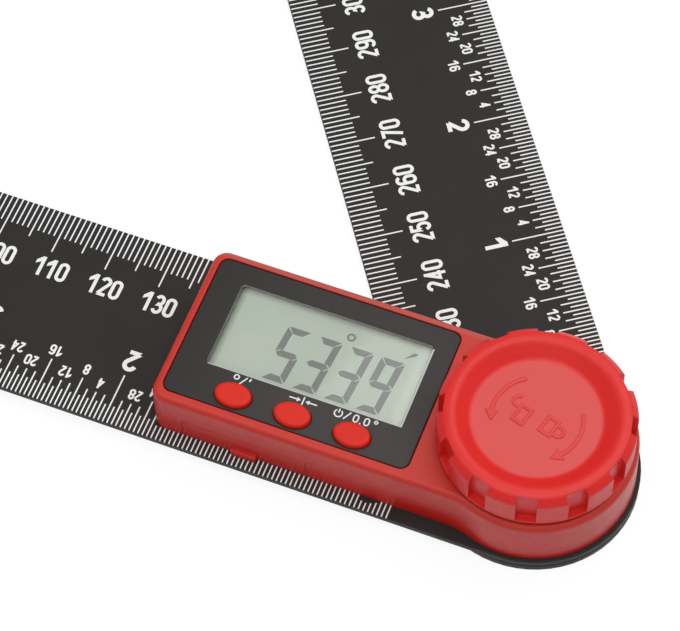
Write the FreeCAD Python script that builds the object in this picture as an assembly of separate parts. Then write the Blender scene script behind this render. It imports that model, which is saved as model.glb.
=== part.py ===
import FreeCAD, Part
import math
import os

V = FreeCAD.Vector

# Driving dimensions. Lengths are in millimetres and angles in degrees.
# The origin is on the pivot axis, level with the underside of the lower arm.
# The fixed arm points along -X and the swing arm turns below it, about Z.
# The housing is as wide as the battery tray needs and as long as the display needs.

# The two arms
arm_reach = 200.5
arm_thick = 1.4
arm_gap = 0.1
arm_corner_r = 3.0
arm_edge_break = 0.15
edge_scale_width = 2.4
hang_hole_r = 2.5
hang_hole_inset = 8.0
rest_angle = 55.2

# The pivot hub, its bush, its washers and its clip
hub_r = 4.0
hub_head_width = 3.0
hub_head_thick = 0.7
hub_flat_depth = 0.8
hub_shoulder = 0.5
stud_shoulder = 1.0
stud_tip_break = 0.4
running_gap = 0.05
bush_wall = 1.5
bush_flange_width = 1.1
bush_flange_thick = 0.8
washer_r = 12.0
washer_thick = 0.3
spring_thick = 0.35
spring_rim_gap = 0.2
spring_bore_gap = 0.15
clip_width = 2.1
clip_thick = 0.6
clip_mouth = 4.0

# The battery tray and its coin cell
cell_r = 10.0
cell_thick = 3.2
cell_rim = 0.9
cell_gap = 0.1
tray_wall = 0.7
tray_floor = 0.6
tray_lift = 0.1
tray_front_height = 4.5
tray_front_thick = 1.4
tray_back_wall = 0.9
tray_back_room = 4.8
tray_gap = 0.08
tray_boss_gap = 0.4
tray_notch = 6.0
lip_length = 4.4
lip_height = 1.5
lip_depth = 0.75
lip_round = 0.35
contact_room = 0.8
contact_thick = 0.25
contact_width = 3.0
contact_gap = 0.05

# The housing shell
housing_wall = 2.0
housing_draft = 0.2
housing_end_margin = 0.7
housing_waist_r = 14.0
housing_corner_r = 2.6
housing_shoulder_r = 1.0
housing_shoulder_steps = 4
ledge_thick = 1.0
ledge_width = 1.2
seat_margin = 2.1
seat_height = 0.5
shell_boss_r = 1.6
shell_boss_end_inset = 3.8
shell_boss_side_inset = 3.9
waist_boss_gap = 1.4

# The back plate inside the shell
plate_thick = 1.0
plate_gap = 0.1
rail_thick = 0.8
rail_height = 2.8
post_r = 1.5
rest_post_r = 0.8

# Fasteners
housing_screw_r = 0.9
housing_screw_head_r = 1.8
housing_screw_tip_room = 1.5
head_recess = 0.05
board_screw_r = 0.75
board_screw_head_r = 1.1
board_screw_head_thick = 0.7
board_screw_bite = 2.5
board_screw_back_inset = 4.5
board_screw_gap = 0.15
screw_slot_width_share = 0.5
screw_slot_depth_share = 0.35

# The front panel, its window and the display behind it
window_length = 33.7
window_corner_r = 0.6
window_back_strip = 3.55
button_strip = 7.05
panel_thick = 0.8
panel_corner_r = 1.5
panel_edge_break = 0.12
panel_drop = 0.05
panel_gap = 0.2
panel_near_margin = 2.15
panel_back_margin = 1.75
panel_end_margin = 1.75
panel_knob_gap = 1.2
lens_thick = 0.7
lens_overlap = 0.6
display_thick = 1.5
display_overlap = 0.45
display_lens_gap = 0.05
holder_wall = 0.4
contact_strip_width = 1.6
contact_strip_height = 1.2

# The circuit board and what sits on it
board_thick = 1.0
board_gap = 0.3
board_end_margin = 0.25
board_boss_gap = 0.2
chip_size = 7.0
chip_thick = 0.9
dome_r = 2.0
dome_height = 0.35

# The three buttons
button_length = 6.3
button_width = 4.4
button_pitch = 10.25
button_inset = 2.65
button_rise = 0.95
button_crown_r = 0.6
button_gap = 0.12
button_flange_thick = 0.5
button_flange_side = 0.5
button_flange_end = 0.2
button_plunger_r = 1.0
button_travel = 0.5
button_slack = 0.05
button_pocket_gap = 0.25

# The angle sensor round the hub
stator_gap = 0.2
stator_hole_gap = 3.0
stator_thick = 1.0
stator_tab_width = 9.0
rotor_inset = 1.4
rotor_thick = 0.8
sensor_gap = 0.3
flex_width = 6.0
flex_thick = 0.25
flex_lap = 2.2
flex_board_gap = 0.6

# The lock knob, its heights counted from the top of the housing
knob_inset = 0.85
knob_flange_thick = 0.4
knob_underside = 1.0
knob_edge_break = 0.2
knob_shoulder_width = 1.15
knob_shoulder_drop = 1.15
knob_shoulder_easing = 0.35
knob_rim_width = 2.65
knob_rim_outer_height = 7.75
knob_rim_inner_height = 8.1
knob_lip_easing = 0.9
knob_bowl_run = 2.7
knob_foot_easing = 0.5
knob_easing_steps = 4
knob_dish_height = 5.9
knob_top_thick = 1.7
knob_skirt_thick = 2.35
knob_boss_wall = 3.5
knob_notch_count = 12
knob_notch_phase = 13.0
knob_notch_width = 3.3
knob_notch_depth = 1.15
insert_wall = 1.5
thrust_washer_rim = 1.0
thrust_washer_hole_gap = 1.0

# Raised signs in the knob's dish, one pair on each side of a line through its centre
sign_height = 0.14
sign_line_angle = 74.0
arrow_inset = 3.3
arrow_width = 0.65
arrow_tail_angle = 48.0
arrow_neck_angle = 114.0
arrow_head_length = 1.9
arrow_head_width = 2.2
lock_sign_offset = 2.3
lock_sign_width = 3.4
lock_sign_body = 2.4
lock_sign_line = 0.55
lock_sign_shackle_r = 1.15

# One overrun serves all cuts, and one share tells a flat edge from a slanted one
over = 1.0
flat_edge_share = 0.01

# Radii of the pivot, worked out from the hub outward
hub_head_r = hub_r + hub_head_width
journal_r = hub_r - hub_shoulder
stud_r = journal_r - stud_shoulder
bush_r = hub_r + bush_wall
bush_flange_r = bush_r + bush_flange_width
clip_r = journal_r + clip_width
stator_hole_r = hub_r + stator_hole_gap
insert_r = stud_r + insert_wall
knob_boss_r = insert_r + knob_boss_wall
thrust_washer_r = knob_boss_r + thrust_washer_rim
thrust_washer_hole_r = journal_r + thrust_washer_hole_gap

# Widths, worked out from the battery tray outward
cavity_inset = housing_wall + housing_draft
tray_half_width = cell_r + cell_gap + tray_wall
tray_depth = tray_front_thick + tray_half_width + cell_r + cell_gap + tray_back_wall
housing_half_width = (tray_depth + tray_back_room + cavity_inset) / 2
cavity_half_width = housing_half_width - cavity_inset
board_half_width = cavity_half_width - board_gap
boss_y = housing_half_width - shell_boss_side_inset
cell_y = tray_front_thick + tray_half_width - housing_half_width
tray_back_y = tray_depth - housing_half_width
panel_near_y = housing_half_width - panel_near_margin
panel_back_y = housing_half_width - panel_back_margin
panel_mid_y = (panel_back_y - panel_near_y) / 2
panel_width = panel_back_y + panel_near_y
window_width = panel_width - window_back_strip - button_strip
window_mid_y = panel_back_y - window_back_strip - window_width / 2
button_y = panel_near_y - button_inset
arm_half_width = housing_half_width + edge_scale_width

# Radii of the round end and the knob, worked out from the arm inward
housing_end_r = arm_half_width - housing_end_margin
stator_r = housing_end_r - cavity_inset - stator_gap
rotor_r = stator_r - rotor_inset
knob_r = housing_end_r - knob_inset
knob_rim_inner_r = knob_r - knob_rim_width
knob_dish_r = knob_rim_inner_r - knob_bowl_run
knob_skirt_inner_r = knob_r - knob_skirt_thick
seat_r = knob_skirt_inner_r - seat_margin
arrow_r = knob_dish_r - arrow_inset

# Places along the housing, worked out from the pivot toward its far end
waist_boss_x = stator_r + waist_boss_gap
board_right_x = waist_boss_x + shell_boss_r + board_boss_gap
stator_tab_reach = board_right_x - flex_board_gap
board_screw_x = board_right_x + board_screw_head_r
holder_right_x = board_screw_x + board_screw_head_r + board_screw_gap
window_right_x = holder_right_x + holder_wall + display_overlap
window_mid_x = window_right_x + window_length / 2
window_left_x = window_right_x + window_length
board_left_x = window_left_x + display_overlap + holder_wall + board_end_margin
end_boss_x = board_left_x + board_boss_gap + shell_boss_r
housing_reach = end_boss_x + shell_boss_end_inset
panel_right_x = knob_r + panel_knob_gap
panel_left_x = housing_reach - panel_end_margin
panel_mid_x = (panel_left_x + panel_right_x) / 2
panel_length = panel_left_x - panel_right_x
tray_mid_x = end_boss_x - shell_boss_r - tray_boss_gap - tray_half_width

# Levels, worked out from the resting plane upward
base_z = arm_thick + arm_gap
deck_z = base_z + arm_thick
plate_top_z = deck_z + plate_thick
tray_z = deck_z + tray_lift
cell_z = tray_z + tray_floor
cell_top_z = cell_z + cell_thick
board_z = cell_top_z + contact_room
board_top_z = board_z + board_thick
display_z = board_top_z + contact_strip_height
lens_z = display_z + display_thick + display_lens_gap
panel_low_z = lens_z + lens_thick
panel_top_z = panel_low_z + panel_thick
ledge_low_z = panel_low_z - ledge_thick
roof_z = panel_top_z + panel_drop
seat_z = roof_z + seat_height
screw_tip_z = ledge_low_z - housing_screw_tip_room
stator_top_z = plate_top_z + stator_thick
rotor_z = stator_top_z + sensor_gap
rotor_top_z = rotor_z + rotor_thick
knob_z = roof_z + knob_underside
dish_z = roof_z + knob_dish_height
knob_hollow_z = dish_z - knob_top_thick


def box(x0, x1, y0, y1, z0, z1):
    """Block between two corners."""
    return Part.makeBox(x1 - x0, y1 - y0, z1 - z0, V(x0, y0, z0))


def cylinder(r, z0, z1, x=0, y=0):
    """Upright cylinder."""
    return Part.makeCylinder(r, z1 - z0, V(x, y, z0))


def ring(r_out, r_in, z0, z1):
    """Flat ring about the pivot axis."""
    return cylinder(r_out, z0, z1).cut(cylinder(r_in, z0 - over, z1 + over))


def extrude(wire, z0, z1):
    """Upright prism on a flat wire drawn at height zero."""
    face = Part.Face(wire)
    face.translate(V(0, 0, z0))
    return face.extrude(V(0, 0, z1 - z0))


def round_rect(length, width, r, x=0, y=0):
    """Rectangle with round corners, centred on x, y."""
    hx = length / 2
    hy = width / 2
    diagonal = r * math.sqrt(0.5)
    edges = []
    for sx, sy in ((1, 1), (-1, 1), (-1, -1), (1, -1)):
        cx = x + sx * (hx - r)
        cy = y + sy * (hy - r)
        ends = [V(cx + sx * r, cy, 0), V(cx, cy + sy * r, 0)]
        if sx * sy < 0:
            ends.reverse()
        middle = V(cx + sx * diagonal, cy + sy * diagonal, 0)
        if edges:
            edges.append(Part.LineSegment(edges[-1].EndPoint, ends[0]))
        edges.append(Part.Arc(ends[0], middle, ends[1]))
    edges.append(Part.LineSegment(edges[-1].EndPoint, edges[0].StartPoint))
    return Part.Wire([edge.toShape() for edge in edges])


def oval(length, width, x, y):
    """Ellipse with its long axis along X."""
    curve = Part.Ellipse(V(x, y, 0), length / 2, width / 2)
    return Part.Wire([curve.toShape()])


def revolve(points):
    """Solid of revolution about the pivot axis, from radius and height pairs."""
    corners = [V(r, 0, z) for r, z in points]
    wire = Part.makePolygon(corners + [corners[0]])
    return Part.Face(wire).revolve(V(0, 0, 0), V(0, 0, 1), 360)


def edges_at(shape, z):
    """Edges of a shape that lie wholly at one height."""
    tol = arm_edge_break * flat_edge_share
    found = []
    for edge in shape.Edges:
        b = edge.BoundBox
        if abs(b.ZMin - z) < tol and abs(b.ZMax - z) < tol:
            found.append(edge)
    return found


def fuse(shapes):
    """One solid out of several."""
    body = shapes[0]
    for other in shapes[1:]:
        body = body.fuse(other)
    return body.removeSplitter()


def cut(shape, tools):
    """Take several tools out of one shape."""
    for tool in tools:
        shape = shape.cut(tool)
    return shape


# Arms

def arm_outline():
    """Arm along -X: full round at the pivot, small corners at the far end."""
    h = arm_half_width
    c = arm_corner_r
    far = -arm_reach
    diagonal = c * (1 - math.sqrt(0.5))
    start = V(0, -h, 0)
    end = V(0, h, 0)
    edges = [
        Part.Arc(start, V(h, 0, 0), end),
        Part.LineSegment(end, V(far + c, h, 0)),
        Part.Arc(V(far + c, h, 0), V(far + diagonal, h - diagonal, 0), V(far, h - c, 0)),
        Part.LineSegment(V(far, h - c, 0), V(far, c - h, 0)),
        Part.Arc(V(far, c - h, 0), V(far + diagonal, diagonal - h, 0), V(far + c, -h, 0)),
        Part.LineSegment(V(far + c, -h, 0), start),
    ]
    return Part.Wire([edge.toShape() for edge in edges])


def arm_blank(z):
    """Flat arm with broken edges and a hanging hole near its far end."""
    blank = extrude(arm_outline(), z, z + arm_thick)
    rims = edges_at(blank, z) + edges_at(blank, z + arm_thick)
    blank = blank.makeChamfer(arm_edge_break, rims)
    hole_x = hang_hole_inset - arm_reach
    return blank.cut(cylinder(hang_hole_r, z - over, z + arm_thick + over, hole_x, 0))


def screw_places():
    """Centres of the screws that hold shell, back plate and fixed arm."""
    places = []
    for x in (end_boss_x, waist_boss_x):
        for y in (boss_y, -boss_y):
            places.append((-x, y))
    return places


def housing_screw(x, y):
    """Countersunk screw, its head flush in the underside of the fixed arm."""
    low = base_z + head_recess
    depth = housing_screw_head_r - housing_screw_r
    head = Part.makeCone(housing_screw_head_r, housing_screw_r, depth, V(x, y, low))
    shank = cylinder(housing_screw_r, low + depth, screw_tip_z, x, y)
    slot_reach = housing_screw_head_r + over
    slot_half = housing_screw_r * screw_slot_width_share / 2
    slot_top = low + depth * screw_slot_depth_share
    slot = box(x - slot_reach, x + slot_reach, y - slot_half, y + slot_half, low - over, slot_top)
    return head.fuse(shank).removeSplitter().cut(slot)


def countersink(x, y):
    """Space for one screw head and shank through the fixed arm."""
    low = base_z + head_recess
    depth = housing_screw_head_r - housing_screw_r
    mouth = cylinder(housing_screw_head_r, base_z - over, low, x, y)
    cone = Part.makeCone(housing_screw_head_r, housing_screw_r, depth, V(x, y, low))
    shank = cylinder(housing_screw_r, low + depth, deck_z + over, x, y)
    return mouth.fuse([cone, shank])


def make_base_arm():
    """Fixed arm that carries the housing."""
    tools = [cylinder(bush_r, base_z - over, deck_z + over)]
    tools.append(cylinder(washer_r + plate_gap, base_z - over, base_z + washer_thick - arm_gap))
    for x, y in screw_places():
        tools.append(countersink(x, y))
    return cut(arm_blank(base_z), tools)


def hub_key():
    """Keyed part of the hub that turns the swing arm."""
    key = cylinder(hub_r, hub_head_thick, arm_thick)
    half = hub_r - hub_flat_depth
    return key.common(box(-hub_r, hub_r, -half, half, 0, arm_thick + over))


def make_pivot_hub():
    """Head, keyed part, journal and stud, in one turned piece."""
    tip = stud_tip_break
    stud_top = knob_hollow_z - tip
    turned = revolve([
        (0, 0),
        (hub_head_r, 0),
        (hub_head_r, hub_head_thick),
        (hub_r, hub_head_thick),
        (hub_r, rotor_z),
        (journal_r, rotor_z),
        (journal_r, seat_z),
        (stud_r, seat_z),
        (stud_r, stud_top - tip),
        (stud_r - tip, stud_top),
        (0, stud_top),
    ])
    collar = cylinder(hub_r + over, hub_head_thick, arm_thick)
    hub = turned.cut(collar.cut(hub_key()))
    hub.rotate(V(0, 0, 0), V(0, 0, 1), -rest_angle)
    return hub


def make_swing_arm():
    """Arm that turns with the hub, keyed and counterbored for it."""
    arm = arm_blank(0)
    arm = cut(arm, [cylinder(hub_head_r, -over, hub_head_thick), hub_key()])
    arm.rotate(V(0, 0, 0), V(0, 0, 1), -rest_angle)
    return arm


# Housing

def housing_outline(inset):
    """Plan of the housing, drawn in by an inset on every side."""
    h = housing_half_width - inset
    r = housing_end_r - inset
    w = housing_waist_r + inset
    c = max(housing_corner_r - inset, panel_gap)
    far = inset - housing_reach
    waist_x = -math.sqrt((r + w) ** 2 - (h + w) ** 2)
    share = r / (r + w)
    touch = V(waist_x * share, (h + w) * share, 0)
    away = V(waist_x, h + w, 0)
    toward = V(waist_x / 2 + touch.x / 2, h / 2 + touch.y / 2, 0) - away
    waist_mid = away + toward.normalize() * w
    diagonal = c * (1 - math.sqrt(0.5))

    def flip(p):
        return V(p.x, -p.y, 0)

    side = V(waist_x, h, 0)
    edges = [
        Part.Arc(flip(touch), V(r, 0, 0), touch),
        Part.Arc(touch, waist_mid, side),
        Part.LineSegment(side, V(far + c, h, 0)),
        Part.Arc(V(far + c, h, 0), V(far + diagonal, h - diagonal, 0), V(far, h - c, 0)),
        Part.LineSegment(V(far, h - c, 0), V(far, c - h, 0)),
        Part.Arc(V(far, c - h, 0), V(far + diagonal, diagonal - h, 0), V(far + c, -h, 0)),
        Part.LineSegment(V(far + c, -h, 0), flip(side)),
        Part.Arc(flip(side), flip(waist_mid), flip(touch)),
    ]
    return Part.Wire([edge.toShape() for edge in edges])


def housing_blank():
    """Outer form of the housing: drafted walls and a rounded top edge."""
    sections = []
    low = housing_outline(0)
    low.translate(V(0, 0, deck_z))
    sections.append(low)
    for step in range(housing_shoulder_steps + 1):
        turn = math.pi / 2 * step / housing_shoulder_steps
        inset = housing_draft + housing_shoulder_r * (1 - math.cos(turn))
        rise = housing_shoulder_r * (math.sin(turn) - 1)
        wire = housing_outline(inset)
        wire.translate(V(0, 0, roof_z + rise))
        sections.append(wire)
    return Part.makeLoft(sections, True, True)


def button_places():
    """Centres of the three buttons."""
    return [(-window_mid_x + button_pitch * step, -button_y) for step in (-1, 0, 1)]


def flange_outline(margin, x, y):
    """Plan of a button's flange, made wider by a margin all round."""
    length = button_length / 2 + button_flange_side + margin
    width = button_width / 2 + button_flange_end + margin
    return oval(length + length, width + width, x, y)


def tray_mouth():
    """Space in the shell's near wall that the tray front closes."""
    half = tray_half_width + tray_gap
    front = -housing_half_width - over
    back = -cavity_half_width + over
    top = tray_z + tray_front_height + tray_gap
    return box(-tray_mid_x - half, half - tray_mid_x, front, back, deck_z - over, top)


def panel_outline(margin):
    """Plan of the front panel, made wider by a margin all round."""
    length = panel_length + margin + margin
    width = panel_width + margin + margin
    return round_rect(length, width, panel_corner_r + max(margin, 0), -panel_mid_x, panel_mid_y)


def make_housing_shell():
    """Red shell: walls, roof ledge round the panel, bosses and the knob's seat."""
    shell = housing_blank()
    cavity = extrude(housing_outline(cavity_inset), deck_z, ledge_low_z)
    shell = shell.cut(cavity)
    bosses = []
    for x, y in screw_places():
        boss = cylinder(shell_boss_r, plate_top_z, ledge_low_z + ledge_thick / 2, x, y)
        bosses.append(boss)
    seat = cylinder(seat_r, roof_z - ledge_thick / 2, seat_z)
    shell = fuse([shell, seat] + bosses)
    recess = panel_outline(panel_gap)
    opening = panel_outline(-ledge_width)
    tools = [
        extrude(recess, panel_low_z, roof_z + over),
        extrude(opening, ledge_low_z - ledge_thick, roof_z),
        cylinder(journal_r + running_gap, ledge_low_z - over, seat_z + over),
        tray_mouth(),
    ]
    for x, y in button_places():
        pocket = flange_outline(button_pocket_gap, x, y)
        tools.append(extrude(pocket, ledge_low_z - ledge_thick, panel_low_z + ledge_thick / 2))
    for x, y in screw_places():
        tools.append(cylinder(housing_screw_r, plate_top_z - over, screw_tip_z, x, y))
    return cut(shell, tools)


def board_screw_places():
    """Centres of the board screws, both between the tray and the pivot."""
    last_button_x = window_mid_x - button_pitch
    near = ((-last_button_x - board_right_x) / 2, post_r - board_half_width)
    back = (-board_screw_x, board_half_width - board_screw_back_inset)
    return [near, back]


def make_back_plate():
    """Black plate that closes the shell, guides the tray and carries the board."""
    plate = extrude(housing_outline(cavity_inset + plate_gap), deck_z, plate_top_z)
    solids = [plate]
    half = tray_half_width + tray_gap
    front = -cavity_half_width + plate_gap
    back = tray_back_y + tray_gap
    for sign in (-1, 1):
        inner = sign * half - tray_mid_x
        outer = sign * (half + rail_thick) - tray_mid_x
        low_x = min(inner, outer)
        high_x = max(inner, outer)
        solids.append(box(low_x, high_x, front, back, plate_top_z, plate_top_z + rail_height))
    for x, y in board_screw_places():
        solids.append(cylinder(post_r, deck_z, board_z, x, y))
    rest_x = board_left_x - rest_post_r - board_gap
    rest_y = board_half_width - rest_post_r
    solids.append(cylinder(rest_post_r, deck_z, board_z, -rest_x, rest_y))
    plate = fuse(solids)
    rail_top_z = plate_top_z + rail_height
    bay = box(-tray_mid_x - half, half - tray_mid_x, front - over, back, deck_z - over, rail_top_z + over)
    tools = [bay, cylinder(bush_flange_r + plate_gap, deck_z - over, plate_top_z + over)]
    for x, y in screw_places():
        tools.append(cylinder(housing_screw_r, deck_z - over, plate_top_z + over, x, y))
        tools.append(cylinder(shell_boss_r + plate_gap, plate_top_z, board_z, x, y))
    for x, y in board_screw_places():
        tools.append(cylinder(board_screw_r, board_z - board_screw_bite, board_z + over, x, y))
    return cut(plate, tools)


# Panel, display and board

def make_front_panel():
    """Charcoal panel with the display window and three button holes."""
    window = round_rect(window_length, window_width, window_corner_r, -window_mid_x, window_mid_y)
    panel = extrude(panel_outline(0), panel_low_z, panel_top_z)
    panel = panel.cut(extrude(window, panel_low_z - over, panel_top_z + over))
    panel = panel.makeChamfer(panel_edge_break, edges_at(panel, panel_top_z))
    holes = []
    for x, y in button_places():
        hole = oval(button_length + button_gap + button_gap, button_width + button_gap + button_gap, x, y)
        holes.append(extrude(hole, panel_low_z - over, panel_top_z + over))
    return cut(panel, holes)


def window_block(margin, z0, z1):
    """Block centred on the window, wider than it by a margin on each side."""
    hx = window_length / 2 + margin
    hy = window_width / 2 + margin
    return box(-window_mid_x - hx, hx - window_mid_x, window_mid_y - hy, window_mid_y + hy, z0, z1)


def make_display_holder():
    """Frame that holds the display glass above the board."""
    outer = window_block(display_overlap + holder_wall, board_top_z, display_z + display_thick)
    inner = window_block(display_overlap, board_top_z - over, display_z + display_thick + over)
    return outer.cut(inner)


def make_contact_strips():
    """Two rubber strips that join the board to the display glass."""
    strips = []
    reach = window_length / 2
    half = contact_strip_width / 2
    for sign in (-1, 1):
        y = window_mid_y + sign * (window_width / 2 - half)
        left = -window_mid_x - reach
        right = reach - window_mid_x
        strips.append(box(left, right, y - half, y + half, board_top_z, display_z))
    return Part.makeCompound(strips)


def make_main_board():
    """Circuit board above the battery tray."""
    board = box(-board_left_x, -board_right_x, -board_half_width, board_half_width, board_z, board_top_z)
    tools = []
    for x, y in board_screw_places():
        tools.append(cylinder(board_screw_r, board_z - over, board_top_z + over, x, y))
    return cut(board, tools)


def make_board_screws():
    """Round-head screws through the board into the posts of the back plate."""
    screws = []
    for x, y in board_screw_places():
        head = cylinder(board_screw_head_r, board_top_z, board_top_z + board_screw_head_thick, x, y)
        shank = cylinder(board_screw_r, board_z - board_screw_bite, board_top_z, x, y)
        reach = board_screw_head_r + over
        slot_half = board_screw_r * screw_slot_width_share / 2
        head_top = board_top_z + board_screw_head_thick
        slot_low = head_top - board_screw_head_thick * screw_slot_depth_share
        slot = box(x - reach, x + reach, y - slot_half, y + slot_half, slot_low, head_top + over)
        screws.append(head.fuse(shank).removeSplitter().cut(slot))
    return Part.makeCompound(screws)


def make_control_chip():
    """Chip on the board, below the middle of the display."""
    half = chip_size / 2
    chip = box(-half, half, -half, half, board_top_z, board_top_z + chip_thick)
    chip.translate(V(-window_mid_x, window_mid_y, 0))
    return chip


def make_switch_domes():
    """Snap domes on the board, one below each button."""
    domes = []
    ball_r = (dome_r ** 2 + dome_height ** 2) / (dome_height + dome_height)
    for x, y in button_places():
        ball = Part.makeSphere(ball_r, V(x, y, board_top_z + dome_height - ball_r))
        domes.append(ball.common(cylinder(dome_r + over, board_top_z, board_top_z + over, x, y)))
    return Part.makeCompound(domes)


def make_button(x, y):
    """Oval button: crowned cap, flange behind the panel and plunger."""
    flange_top = panel_low_z - button_slack
    flange_low = flange_top - button_flange_thick
    cap = extrude(oval(button_length, button_width, x, y), flange_low, panel_top_z + button_rise)
    cap = cap.makeFillet(button_crown_r, edges_at(cap, panel_top_z + button_rise))
    flange = flange_outline(0, x, y)
    foot = board_top_z + dome_height + button_travel + button_slack
    plunger = cylinder(button_plunger_r, foot, flange_top, x, y)
    return fuse([cap, extrude(flange, flange_low, flange_top), plunger])


# Battery tray

def make_battery_tray():
    """Tray that slides out of the near wall, with its finger lip."""
    half = tray_half_width
    front = -housing_half_width - over
    wall_back = tray_front_thick - housing_half_width
    slab_top_z = cell_top_z - contact_gap
    slab_front = wall_back - tray_front_thick / 2
    slab = box(-tray_mid_x - half, half - tray_mid_x, slab_front, tray_back_y, tray_z, slab_top_z)
    door_top = tray_z + tray_front_height
    door = box(-tray_mid_x - half, half - tray_mid_x, front, wall_back, tray_z, door_top)
    door = door.common(housing_blank())
    tray = fuse([slab, door])
    pocket = cylinder(cell_r + cell_gap, cell_z, cell_top_z + over, -tray_mid_x, cell_y)
    notch_half = tray_notch / 2
    notch_back = tray_back_y + over
    notch_top = cell_top_z + over
    notch = box(-tray_mid_x - notch_half, notch_half - tray_mid_x, cell_y, notch_back, cell_z, notch_top)
    tray = cut(tray, [pocket, notch])
    lip_half = lip_length / 2
    lip_front = -housing_half_width - lip_depth
    lip_top = tray_z + lip_height
    lip = box(-tray_mid_x - lip_half, lip_half - tray_mid_x, lip_front, wall_back, tray_z, lip_top)
    front_edges = []
    for edge in lip.Edges:
        b = edge.BoundBox
        if b.YMax < lip_front + lip_round and b.ZMax > tray_z + lip_round:
            front_edges.append(edge)
    return fuse([tray, lip.makeFillet(lip_round, front_edges)])


def make_coin_cell():
    """Coin cell: a wide can below and the narrower cap on top."""
    can = cylinder(cell_r, cell_z, cell_top_z - cell_rim, -tray_mid_x, cell_y)
    cap = cylinder(cell_r - cell_rim, cell_top_z - cell_rim, cell_top_z, -tray_mid_x, cell_y)
    return can.fuse(cap).removeSplitter()


def make_top_contact():
    """Leaf on the board that presses the top of the cell."""
    half = contact_width / 2
    low = cell_top_z + contact_gap
    back = cell_y - contact_width
    tip = cell_y + contact_width
    finger = box(-tray_mid_x - half, half - tray_mid_x, back, tip, low, low + contact_thick)
    riser = box(-tray_mid_x - half, half - tray_mid_x, back, back + contact_thick, low, board_z)
    return fuse([finger, riser])


def make_rim_contact():
    """Leaf on the board that touches the rim of the can at the back of the tray."""
    half = contact_width / 2
    y = cell_y + cell_r + contact_gap
    low = cell_z + tray_floor
    foot_z = board_z - contact_thick
    leaf = box(-tray_mid_x - half, half - tray_mid_x, y, y + contact_thick, low, board_z)
    foot = box(-tray_mid_x - half, half - tray_mid_x, y, y + contact_width, foot_z, board_z)
    return fuse([leaf, foot])


# Pivot and angle sensor

def make_pivot_bush():
    """Bearing bush, pressed in the fixed arm, with its flange above."""
    hole = hub_r + running_gap
    sleeve = ring(bush_r, hole, base_z, deck_z)
    return fuse([sleeve, ring(bush_flange_r, hole, deck_z, deck_z + bush_flange_thick)])


def make_friction_washer():
    """Washer between the arms, seated in the underside of the fixed arm."""
    return ring(washer_r, bush_r + plate_gap, arm_thick, arm_thick + washer_thick)


def make_disc_spring():
    """Coned washer that holds the arms lightly together."""
    low = deck_z + bush_flange_thick + running_gap
    outer = bush_flange_r - spring_rim_gap
    inner = hub_r + spring_bore_gap
    return revolve([
        (outer, low),
        (outer, low + spring_thick),
        (inner, rotor_z),
        (inner, rotor_z - spring_thick),
    ])


def make_stator():
    """Fixed sensor board, with a tab for the flat cable."""
    disc = cylinder(stator_r, plate_top_z, stator_top_z)
    half = stator_tab_width / 2
    tab = box(-stator_tab_reach, -stator_r / 2, -half, half, plate_top_z, stator_top_z)
    return fuse([disc, tab]).cut(cylinder(stator_hole_r, plate_top_z - over, stator_top_z + over))


def make_rotor_clip():
    """Open ring that holds the rotor on the hub."""
    clip = ring(clip_r, journal_r, rotor_top_z, rotor_top_z + clip_thick)
    half = clip_mouth / 2
    top = rotor_top_z + clip_thick
    return clip.cut(box(0, clip_r + over, -half, half, rotor_top_z - over, top + over))


def make_flex_cable():
    """Flat cable from the sensor board up to the main board."""
    half = flex_width / 2
    run = -stator_tab_reach + flex_thick
    lap_start = -stator_tab_reach + flex_lap
    low = box(-stator_tab_reach, lap_start, -half, half, stator_top_z, stator_top_z + flex_thick)
    rise = box(-stator_tab_reach, run, -half, half, stator_top_z, board_top_z + flex_thick)
    lap_end = -board_right_x - flex_lap
    high = box(lap_end, run, -half, half, board_top_z, board_top_z + flex_thick)
    return fuse([low, rise, high])


# Lock knob

def eased(before, corner, after, reach):
    """Points that round off a corner of a profile, from a reach before it to the same reach after."""
    a = V(before[0], 0, before[1])
    b = V(corner[0], 0, corner[1])
    c = V(after[0], 0, after[1])
    start = b + (a - b).normalize() * reach
    end = b + (c - b).normalize() * reach
    points = []
    for step in range(knob_easing_steps + 1):
        t = step / knob_easing_steps
        p = start * (1 - t) * (1 - t) + b * (t + t) * (1 - t) + end * t * t
        points.append((p.x, p.z))
    return points


def knob_blank():
    """Knob turned about the pivot axis: skirt, rim, dish and centre boss."""
    rim_outer = roof_z + knob_rim_outer_height
    middle = (0, dish_z)
    foot = (knob_dish_r, dish_z)
    lip = (knob_rim_inner_r, roof_z + knob_rim_inner_height)
    shoulder = (knob_r - knob_shoulder_width, rim_outer)
    side = (knob_r, rim_outer - knob_shoulder_drop)
    low = (knob_r, knob_z)
    profile = [middle]
    profile += eased(middle, foot, lip, knob_foot_easing)
    profile += eased(foot, lip, shoulder, knob_lip_easing)
    profile += eased(lip, shoulder, side, knob_shoulder_easing)
    profile += eased(shoulder, side, low, knob_shoulder_easing)
    return revolve(profile + [
        (knob_r, knob_z + knob_edge_break),
        (knob_r - knob_edge_break, knob_z),
        (knob_skirt_inner_r, knob_z),
        (knob_skirt_inner_r, knob_hollow_z),
        (knob_boss_r, knob_hollow_z),
        (knob_boss_r, knob_z),
        (insert_r, knob_z),
        (insert_r, knob_hollow_z),
        (0, knob_hollow_z),
    ])


def notches():
    """Grip notches round the knob, open at the top and closed by a thin flange below."""
    inner = knob_r - knob_notch_depth
    outer = knob_r + over
    half = knob_notch_width / 2
    low = knob_z + knob_flange_thick
    high = roof_z + knob_rim_inner_height + over
    tools = []
    for step in range(knob_notch_count):
        tool = box(inner, outer, -half, half, low, high)
        tool.rotate(V(0, 0, 0), V(0, 0, 1), knob_notch_phase + step * 360 / knob_notch_count)
        tools.append(tool)
    return tools


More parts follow.
